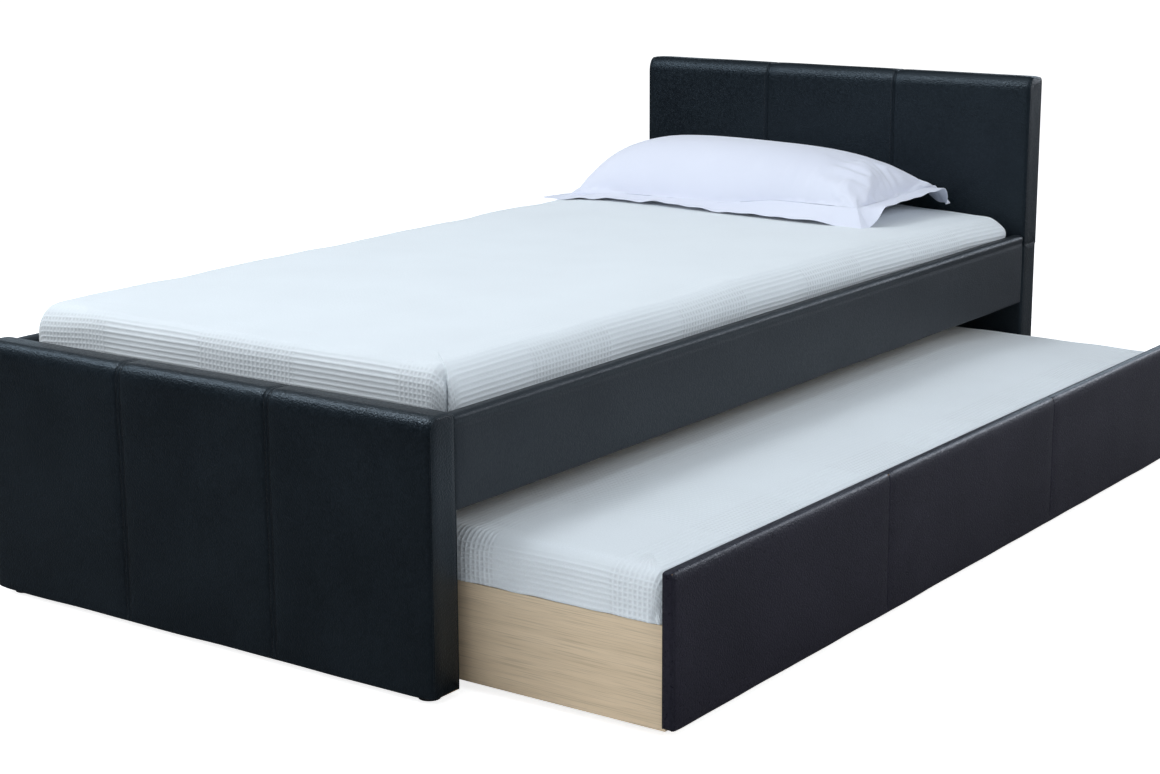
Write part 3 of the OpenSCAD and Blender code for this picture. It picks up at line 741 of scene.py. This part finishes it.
@dataclass
class Bedspread:
    """A cloth over a mattress: a strip round its edges that shows each rib, and a plain middle.

    Each column of the strip runs from the hem up the side, over the edge and onto the top.
    """
    low: Vector
    high: Vector
    top: float
    hem: float
    rolls: tuple            # width and height of the edge, where it is softest and tightest
    plan_r: float           # radius of the corners, seen from above
    reach: float            # how far in from the edge the strip goes
    shift: tuple            # from places in the frame to cloth coordinates
    crown: object
    slack: float            # how much of the weave shows on the top
    hidden_below: float     # the height from which the strip has its closer rows
    counts: tuple           # rows up the side, over the edge, and on the top
    lift: object            # how far the cloth stands out, at u, v, height and inset

    def columns(self, foot_x, right_y, flap):
        """Outer points and outward directions, round the cloth from the foot's left corner.

        flap is the angles of the columns round the foot's right corner.
        """
        r = self.plan_r
        (x0, y0), (x1, y1) = self.low.xy, self.high.xy
        head_x, left_y = [spaced(a + r, b - r, 26 * MM)[::-1] for a, b in ((x0, x1), (y0, y1))]
        fan = np.linspace(0, 90, 14)[1:-1]
        points, outward = [], []
        sides = [(foot_x, y0, x1 - r, y0 + r, fan if flap is None else flap),
                 (x1, right_y, x1 - r, y1 - r, fan),
                 (head_x, y1, x0 + r, y1 - r, fan), (x0, left_y, x0 + r, y0 + r, fan)]
        for start, (xs, ys, mid_x, mid_y, turns) in zip((-90, 0, 90, 180), sides):
            side = np.stack(np.broadcast_arrays(xs, ys), 1)
            angles = np.radians(start + np.concatenate([np.zeros(len(side)), turns]))
            ways = np.stack([np.cos(angles), np.sin(angles)], 1)
            points += [side, (mid_x, mid_y) + r * ways[len(side):]]
            outward.append(ways)
        return np.concatenate(points), np.concatenate(outward)

    def rows(self, roll):
        """Inset from the edge, height, and distance along the cloth from the inner ring."""
        wide, tall = roll
        side, over, on_top = self.counts
        straight_top = self.top - tall
        stops = (self.hem, self.hidden_below, 5), (self.hidden_below, straight_top, side)
        heights = np.concatenate([np.linspace(*stop)[:-1] for stop in stops])
        turns = np.linspace(0, math.pi / 2, over)
        insets = np.linspace(wide, self.reach, on_top)[1:]
        inset = np.concatenate([heights * 0, wide * (1 - np.cos(turns)), insets])
        height = np.concatenate([heights, straight_top + tall * np.sin(turns),
                                 insets * 0 + self.top])
        steps = np.hypot(*np.diff([inset, height]))
        from_hem = np.concatenate([[0], np.cumsum(steps)])
        return np.stack([inset, height, from_hem[-1] - from_hem])

    def strip(self, points, outward):
        """Places of the strip's points, and their cloth coordinates."""
        loose, tight = [self.rows(roll)[:, :, None] for roll in self.rolls]
        way_x, way_y = outward.T
        at_foot, at_right, at_head = [np.maximum(way, 0) ** 2 for way in (-way_y, way_x, way_y)]
        share = at_foot * ramp(points[:, 0], self.low.x, self.low.x + 180 * MM) \
            + 0.45 * at_right + 0.3 * at_head
        inset, height, run = loose * (1 - share) + tight * share
        keep = 0.7 * self.plan_r
        near = points - outward * np.minimum(inset, keep)[..., None]
        inner_low, inner_high = np.array(self.low.xy) + self.reach, np.array(self.high.xy) - self.reach
        inner = np.clip(points - outward * self.reach, inner_low, inner_high)
        share = np.clip((inset - keep) / (self.reach - keep), 0, 1)[..., None]
        plan = near * (1 - share) + inner * share
        cloth = points + outward * (run - self.reach)[..., None]
        on_top = ramp(inset, 0.5 * self.reach, self.reach)[..., None]
        cloth = cloth * (1 - on_top) + plan * on_top + np.array(self.shift)
        place = np.dstack([plan, height])
        place[..., 2] += self.crown(plan[..., 0], plan[..., 1]) \
            * ramp(height, self.hem + 20 * MM, self.top - 5 * MM)
        ahead = np.roll(place, -1, 1) - np.roll(place, 1, 1)
        normal = np.cross(ahead, np.gradient(place, axis=0))
        normal /= np.maximum(np.linalg.norm(normal, axis=2), 1e-9)[..., None]
        out = self.lift(cloth[..., 0], cloth[..., 1], height) \
            * (1 - ramp(inset, self.reach - 26 * MM, self.reach))
        stretch = 1 - (1 - self.slack) * ramp(normal[..., 2], 0.35, 0.9)
        return place + normal * out[..., None], np.dstack([cloth, stretch])

    def make(self, name, body, foot_x, right_y, flap, replaces, flat, rests_on):
        place, cloth = self.strip(*self.columns(foot_x, right_y, flap))
        surface, inset = Surface(), self.reach + 9 * MM
        surface.grid(place, round_rows=True)
        xs, ys = [spaced(low + inset, high - inset, step * MM) for low, high, step in
                  zip(self.low.xy, self.high.xy, (15, 17))]
        middle = surface.fill(surface.count - place.shape[1], xs, ys,
                              lambda x, y: self.top + self.crown(x, y))
        middle = np.insert(middle + np.array(self.shift), 2, self.slack, axis=1)
        stored = np.concatenate([cloth.reshape(-1, 3), middle])
        mesh = build_mesh(name, surface.points, surface.faces, bed_waffle, 0.02 * MM, 0.01 * MM,
                          stored)
        made = make_piece(name, mesh, body, [replaces])
        thick = made.modifiers.new("cloth_thickness", "SOLIDIFY")
        thick.thickness, thick.offset = 1.6 * MM, -1


def ribs_at(u, v, height, top):
    """The height of the ribs, which flatten where the cloth is pulled over the edge."""
    return RIB_HEIGHT * waffle(u, v) * (1 - 0.8 * ramp(height, top - 12 * MM, top - 1 * MM))


def make_main_bedspread():
    shift = (-bed_mid - 45 * MM, 636 * MM)
    radius, rail_top, top = 34 * MM, rail_high.z, spread_high.z + 1 * MM
    foot_x = threads_between(spread_low.x + radius, spread_high.x - radius, shift[0], RIB / 3.5)
    right_y = threads_between(spread_low.y + radius, spread_high.y - radius, shift[1], RIB / 3)
    fold = 53.0      # degrees round the foot's right corner at which the side's flap ends
    flap = [6, 12, 18, 24, 30, 36, 42, 47, 51, fold - 1, fold + 0.6, fold - 0.8, fold + 1.6,
            fold + 4.5, 62, 68, 74, 80, 85]
    corner = len(foot_x)
    after_fold = corner + 11
    # How far the columns at the flap's lip stand out, in mm: tucked under, then over
    lip = dict(enumerate((-1.5, -3.6, -5.2, -5.5, 3.0, 4.4, 3.8), corner + 7))

    def lift(u, v, height):
        columns = np.arange(u.shape[1])[None, :]
        ribs = ribs_at(u, v, height, top) * ramp(height, rail_top - 30 * MM, rail_top)
        ribs = ribs * np.where((columns > after_fold - 5) & (columns < after_fold + 8), 0.15, 1)
        bulge = 8 * MM * dip(height - (rail_top + 22 * MM), 24 * MM) \
            * ramp(v - shift[1] - spread_low.y, 0.25, 1.1) \
            * ramp(u - shift[0], spread_high.x - 0.03, spread_high.x + 0.01)
        soft = 1.2 * MM * uneven(u / 0.19, v / 0.19, 31) \
            * ramp(height, rail_top - 40 * MM, rail_top)
        step = 2.6 * MM * np.exp(-np.clip(columns - after_fold - 6, 0, None) / 14.0) \
            * (columns >= after_fold) * (columns < after_fold + 90) + 0 * u
        for column, value in lip.items():
            step[:, column] = value * MM
        low_side = 1 - ramp(height, top - 24 * MM, top - 5 * MM)
        pocket = -5.5 * MM * dip(columns - (corner + 6), 3.2) \
            * dip(height - (top - 16 * MM), 12 * MM)
        return ribs + bulge + soft + step * low_side + pocket

    Bedspread(spread_low, spread_high, top, spread_low.z + 3 * MM,
              (MAIN_ROLL, (24 * MM, 30 * MM)), radius, 84 * MM, shift, main_crown, 0.2,
              rail_top - 6 * MM, (12, 27, 19), lift).make(
        "main_waffle_bedspread", "mattress", foot_x, right_y, flap, "main_bedspread",
        (1.17, 2.17), ["main_mattress_padding"])


def make_guest_bedspread():
    shift = (-bed_mid - 423 * MM, 630 * MM)
    radius, hem = 24 * MM, guest_low.z
    foot_x = threads_between(guest_low.x + radius, guest_high.x - radius, shift[0], RIB / 4)
    right_y = spaced(guest_low.y + radius, guest_high.y - radius, 22 * MM)

    def lift(u, v, height):
        free = 1 - ramp(height, hem + 2 * MM, hem + 30 * MM)
        flutter = 2.0 * MM * free * uneven(u / 0.05, v / 0.05, 41)
        soft = 1.1 * MM * uneven(u / 0.17, v / 0.17, 42)
        return ribs_at(u, v, height, guest_high.z) + flutter + soft * (1 - free)

    Bedspread(guest_low, guest_high, guest_high.z, hem + 0.6 * MM,
              (GUEST_ROLL, (28 * MM, 32 * MM)), radius, 74 * MM, shift, guest_crown, 0.8,
              hem + 4 * MM, (20, 22, 20), lift).make(
        "trundle_waffle_bedspread", "trundle", foot_x, right_y, None, "trundle_bedspread",
        (1.03, 2.03), ["trundle_mattress_padding"])


def make_mattress(name, body, low, high, roll, crown, replaces):
    """A mattress under its bedspread: a soft upper edge, and piping round its lower edge."""
    plan_r, edge = 30 * MM, 9 * MM
    mid, half = (low + high) / 2, (high - low) / 2 - Vector((3.5, 3.5, 0)) * MM

    def ring(inset, z):
        radius = max(plan_r - inset, 2 * MM)
        far = np.array(half.xy) - inset - radius
        return [(mid.x + sx * far[0] + radius * math.cos(a),
                 mid.y + sy * far[1] + radius * math.sin(a), z)
                for sx, sy, start in ((1, -1, -90), (1, 1, 0), (-1, 1, 90), (-1, -1, 180))
                for a in np.radians(np.linspace(start, start + 90, 9))]

    z0, z1 = low.z + 1 * MM, high.z - 2.5 * MM
    turns = np.linspace(0, math.pi / 2, 10)[1:]
    profile = [(60 * MM, z0), (edge, z0), (0.3 * edge, z0 + 0.3 * edge)]
    profile += [(0, z) for z in spaced(z0 + edge, z1 - roll[1], 12 * MM)]
    profile += [(roll[0] * (1 - math.cos(a)), z1 + roll[1] * (math.sin(a) - 1)) for a in turns]
    profile += [(roll[0] + 60 * MM, z1)]
    rings = np.array([ring(inset, z) for inset, z in profile])
    sinking = np.minimum(crown(rings[..., 0], rings[..., 1]), 0)
    rings[..., 2] += sinking * ramp(rings[..., 2], z0 + 20 * MM, z1 - 10 * MM)
    surface, around = Surface(), rings.shape[1]
    surface.grid(rings, round_rows=True)
    surface.close(0, around)
    xs, ys = [np.linspace(line.min() + 5 * MM, line.max() - 5 * MM, count)
              for line, count in zip(rings[-1].T, (24, 48))]
    surface.fill(surface.count - around, xs, ys, lambda x, y: z1 + np.minimum(crown(x, y), 0))
    piping = ring(0.3 * MM, z0 + 0.6 * edge)
    surface.tube(piping + piping[:1], 1.8 * MM, 6)
    made = surface.make(name, body, mattress_ticking, "mattress_ticking", [replaces])


# ======== Pillow ========

def fill_share(a, b):
    """How full the pillow is at a and b, each from -1 to 1: 0 at its seam, 1 in the middle."""
    end = np.abs(a) ** np.where(a < 0, 4.6, 3.6)
    side = np.abs(b) ** np.where(b < 0, 3.0, 2.2)
    return np.sqrt((1 - end) * (1 - side))


def seam_height(a, b):
    """The seam lifts off the mattress towards the right end and the back."""
    return (18 + 16 * ramp(a, 0.05, 0.5) + 6 * ramp(b, -0.3, 1.0) - 13 * ramp(-a, 0.6, 1.0)) * MM


def settle_cloth(mesh, pinned, steps=22):
    """Lets the cloth swell and pucker with its seam held, and gives its points back."""
    flat = put_in_scene("settling", mesh)
    flat.vertex_groups.new(name="seam").add(pinned, 1.0, "REPLACE")
    cloth = flat.modifiers.new("cloth", "CLOTH")
    settings = {"quality": 6, "mass": 0.3, "tension_stiffness": 15, "compression_stiffness": 15,
                "shear_stiffness": 5, "bending_stiffness": 1.5, "shrink_min": -0.035,
                "use_pressure": True, "uniform_pressure_force": 3.0, "vertex_group_mass": "seam"}
    for key, value in settings.items():
        setattr(cloth.settings, key, value)
    cloth.settings.effector_weights.gravity = 0
    cloth.collision_settings.use_collision = False
    cloth.point_cache.frame_start, cloth.point_cache.frame_end = 1, steps
    for step in range(1, steps + 1):
        scene.frame_set(step)
    settled = flat.evaluated_get(bpy.context.evaluated_depsgraph_get())
    places = np.array([v.co for v in settled.data.vertices])
    bpy.data.objects.remove(flat)
    scene.frame_set(1)
    return places


def flange_spokes(last_a, last_b):
    """Where the flange's spokes leave the seam, as row and column, and which way each points."""
    sides = [([(0, i) for i in range(1, last_a)], (0, -1)),
             ([(j, last_a) for j in range(1, last_b)], (1, 0)),
             ([(last_b, i) for i in range(last_a - 1, 0, -1)], (0, 1)),
             ([(j, 0) for j in range(last_b - 1, 0, -1)], (-1, 0))]
    corners = [(0, last_a), (last_b, last_a), (last_b, 0), (0, 0)]
    spokes = []
    for (places, way), corner, (_, next_way) in zip(sides, corners, sides[1:] + sides[:1]):
        spokes += [(*place, *way) for place in places]
        spokes += [(*corner, *(np.array(way) * first + np.array(next_way) * second))
                   for first, second in ((1, 0), (1, 0.5), (1, 1), (0.5, 1), (0, 1))]
    row, column, turn_x, turn_y = np.array(spokes).T
    return row.astype(int), column.astype(int), turn_x, turn_y


def make_pillow():
    flange = 46 * MM
    low, high = pillow_low, pillow_high
    mid = (low + high) / 2
    half_w, half_d = (high.x - low.x) / 2 - flange, (high.y - low.y) / 2 - flange
    last_a, last_b = 100, 52
    a, b = np.meshgrid(*[np.sin(np.linspace(-1, 1, last + 1) * math.pi / 2)
                         for last in (last_a, last_b)])
    # The seam bows in a little between the corners
    x = mid.x + half_w * a * (1 - 0.018 * (1 - b * b))
    y = mid.y + half_d * b * (1 - 0.035 * (1 - a * a))
    share, seam = fill_share(a, b), seam_height(a, b)
    full = (high.z - low.z) * (1.03 - 0.05 * ramp(a, -0.3, 0.8))
    top = seam + (full - seam) * share
    # Creases that fan out from the right end, and soft dents over the front
    fan = np.arctan2(b + 0.15, 1.45 - a)
    top = top + 3.0 * MM * np.sin(fan * 22 + 1.6 * np.sin(a * 9)) * ramp(a, 0.6, 0.9) \
        * ramp(share, 0.05, 0.4) * ramp(-b, -0.95, 0.1)
    front = ramp(-b, 0.55, 0.9) * ramp(share, 0.05, 0.25)
    top = top + (0.8 + 2.2 * ramp(a, -0.1, 0.3)) * MM * front * uneven(x / 0.034, y / 0.2, 51)
    base = seam - (seam + 5 * MM) * np.minimum(1.0, 1.7 * share)
    surface = Surface()
    for z in (top, base):
        surface.grid(np.stack([x, y, low.z + z], -1))
    mesh = build_mesh("pillow_start", surface.points, surface.faces)
    places = start = np.array([v.co for v in mesh.vertices])
    row, column, turn_x, turn_y = flange_spokes(last_a, last_b)
    around = np.stack([x[row, column], y[row, column], low.z + seam[row, column]], 1)
    nearest = [int(np.argmin(((start - p) ** 2).sum(1))) for p in around]
    faces = [tuple(p.vertices) for p in mesh.polygons]
    moved = settle_cloth(mesh, nearest) - start
    far = np.linalg.norm(moved, axis=1, keepdims=True)
    places = start + moved * np.minimum(1.0, 9 * MM / np.maximum(far, 1e-9))
    places[:, 2] = np.maximum(places[:, 2], low.z - 5 * MM)

    sa, sb, edge = a[row, column], b[row, column], places[nearest]
    # How far each side's flange hangs towards its rim
    in_front = (4 + 22 * ramp(sa, -0.1, 0.5) + 11 * ramp(sa, 0.75, 0.97)) * MM
    at_right = (-3 + 39 * dip(sb + 1, 0.13) + 40 * ramp(sb, 0.75, 1.0)) * MM
    at_left = 6 * MM
    behind = (6 + 32 * ramp(sa, 0.8, 1.0)) * MM
    across, along = np.abs(turn_x), np.abs(turn_y)
    fall = (np.where(turn_x > 0, at_right, at_left) * across
            + np.where(turn_y < 0, in_front, behind) * along) / (across + along)
    spread_out = flange * np.sqrt(1 - np.clip(fall / flange, -1, 1) ** 2)
    run = np.cumsum(np.linalg.norm(edge - np.roll(edge, 1, 0), axis=1))
    drop = 2.2 * MM * uneven(run / 0.085, 0 * run, 61) - fall
    to_rim = np.stack([turn_x * spread_out, turn_y * spread_out, drop], 1)
    rings = np.array([edge + to_rim * part for part in (0.0, 0.12, 0.3, 0.5, 0.7, 0.86, 0.96, 1.0)])
    surface = Surface()
    surface.add(places, faces)
    half_thick = np.array([0, 0, 0.8 * MM])
    surface.grid(np.concatenate([rings + half_thick, rings[::-1] - half_thick]), round_rows=True)
    made = surface.make("pillow_in_case", "pillow", pillow_cotton, "pillow_cloth", ["pillow"])
    smoother = made.modifiers.new("smoother", "SUBSURF")
    smoother.levels = smoother.render_levels = 1


# ======== Stage ========

def make_floor():
    """A plain pale floor, which looks white to the camera and dark in the leather."""
    size = 30.0
    corners = [(-size, -size, 0), (size, -size, 0), (size, size, 0), (-size, size, 0)]
    pale = Shader("pale_floor", Roughness=0.9, Emission_Color=(1, 1, 1, 1))
    speck = pale.noise(pale.place(), 40.0)
    rays = pale.add("LightPath", {}).outputs
    tone = pale.mix(speck, (0.90, 0.90, 0.90), (0.94, 0.94, 0.94))
    pale.colour(pale.mix(rays["Is Glossy Ray"], tone, (0.12, 0.12, 0.12)))
    pale.drive("Emission Strength", pale.times(rays["Is Camera Ray"], 0.8))
    mesh = bpy.data.meshes.new("floor")
    mesh.from_pydata(corners, [], [(0, 1, 2, 3)])
    mesh.materials.append(pale.material)
    put_in_scene("floor", mesh)


def make_world():
    """Soft light from all round, with its own strength in reflections and behind the object."""
    world = bpy.data.worlds.new("studio")
    scene.world = world
    world.use_nodes = True
    tree = world.node_tree
    shown = tree.nodes["Background"]
    shown.inputs["Color"].default_value = (0.93, 0.96, 1.0, 1)
    shown.inputs["Strength"].default_value = 0.40
    paths = tree.nodes.new("ShaderNodeLightPath").outputs
    for ray, strength, colour in (("Is Glossy Ray", 0.14, (0.78, 0.9, 1.0)),
                                  ("Is Camera Ray", 1.1, (1, 1, 1))):
        other = tree.nodes.new("ShaderNodeBackground")
        other.inputs["Strength"].default_value = strength
        other.inputs["Color"].default_value = (*colour, 1)
        choose = tree.nodes.new("ShaderNodeMixShader")
        for number, output in enumerate((paths[ray], shown.outputs[0], other.outputs[0])):
            tree.links.new(output, choose.inputs[number])
        shown = choose
    tree.links.new(shown.outputs[0], tree.nodes["World Output"].inputs["Surface"])


def softbox(name, place, target, size, power, colour, lit=True, mirrored=True):
    """A rectangular light. Unlit, it only shows in reflections; unmirrored, it never does."""
    light = bpy.data.lights.new(name, "AREA")
    light.shape, light.size, light.size_y = "RECTANGLE", size[0], size[1]
    light.energy, light.color = power, colour
    made = put_in_scene(name, light)
    made.location = place
    made.rotation_euler = (Vector(target) - Vector(place)).to_track_quat("-Z", "Y").to_euler()
    made.visible_diffuse, made.visible_glossy = lit, mirrored


def make_stage():
    """A plain pale floor, soft studio light, and the camera."""
    scene.view_settings.view_transform = "Standard"
    make_floor()
    make_world()
    cool, pale_blue, warm = (0.90, 0.95, 1.0), (0.72, 0.87, 1.0), (1.0, 0.98, 0.95)
    softbox("overhead", (-0.3, -0.5, 3.2), (-0.1, -0.2, 0.0), (3.8, 3.0), 30, (0.84, 0.93, 1.0))
    softbox("key", (-1.5, -2.1, 3.4), (0.1, -0.1, 0.3), (1.2, 1.2), 50, cool)
    softbox("left", (-4.6, -3.1, 1.8), (0.2, -0.9, 0.2), (1.2, 1.2), 50, warm, mirrored=False)
    softbox("front", (-0.6, -4.6, 1.9), (-0.1, -0.6, 0.3), (2.4, 1.6), 15, cool, mirrored=False)
    softbox("side", (3.8, -0.4, 2.5), (0.3, 0.1, 0.3), (3.0, 1.5), 28, cool)
    softbox("low_side", (2.6, 1.0, 2.0), (0.6, 0.2, 0.27), (2.0, 1.2), 11, cool, mirrored=False)
    softbox("far_side", (3.2, 4.9, 1.3), (0.4, 0.4, 0.4), (2.6, 1.8), 11, cool)
    softbox("back", (-4.4, 3.3, 1.7), (0.0, -0.2, 0.4), (4.5, 1.8), 24, pale_blue)
    softbox("sheen_left", (-3.4, -1.9, 3.2), (-0.4, -1.0, 0.4), (1.6, 1.6), 42, pale_blue,
            lit=False)
    softbox("sheen_back", (0.6, 5.6, 2.2), (0.6, 0.0, 0.3), (5.0, 1.6), 60, pale_blue, lit=False)
    softbox("sheen_side", (3.2, 5.2, 1.9), (0.7, 0.0, 0.3), (3.6, 1.6), 78, (0.95, 0.94, 1.0),
            lit=False)
    camera = scene.camera = put_in_scene("camera", bpy.data.cameras.new("camera"))
    camera.location = (2.29966, -3.45706, 1.21716)
    pitch, roll, yaw = 0.22908, 0.00466, 0.62012
    camera.rotation_euler = (math.pi / 2 - pitch, roll, yaw)
    camera.data.sensor_width = 36.0
    camera.data.lens = 70.015
    camera.data.clip_end = 100


dress_cad_nodes()
make_pillow()
make_headboard()
make_footboard()
make_rail("right", rail_low, rail_high, 1)
make_rail("left", left_low, left_high, -1)
make_trundle_front()
make_mattress("main_mattress_padding", "mattress", mattress_low, mattress_high,
              MAIN_ROLL, main_crown, "main_mattress")
make_mattress("trundle_mattress_padding", "trundle", guest_pad_low, guest_pad_high,
              GUEST_ROLL, guest_crown, "trundle_mattress")
make_main_bedspread()
make_guest_bedspread()
make_stage()
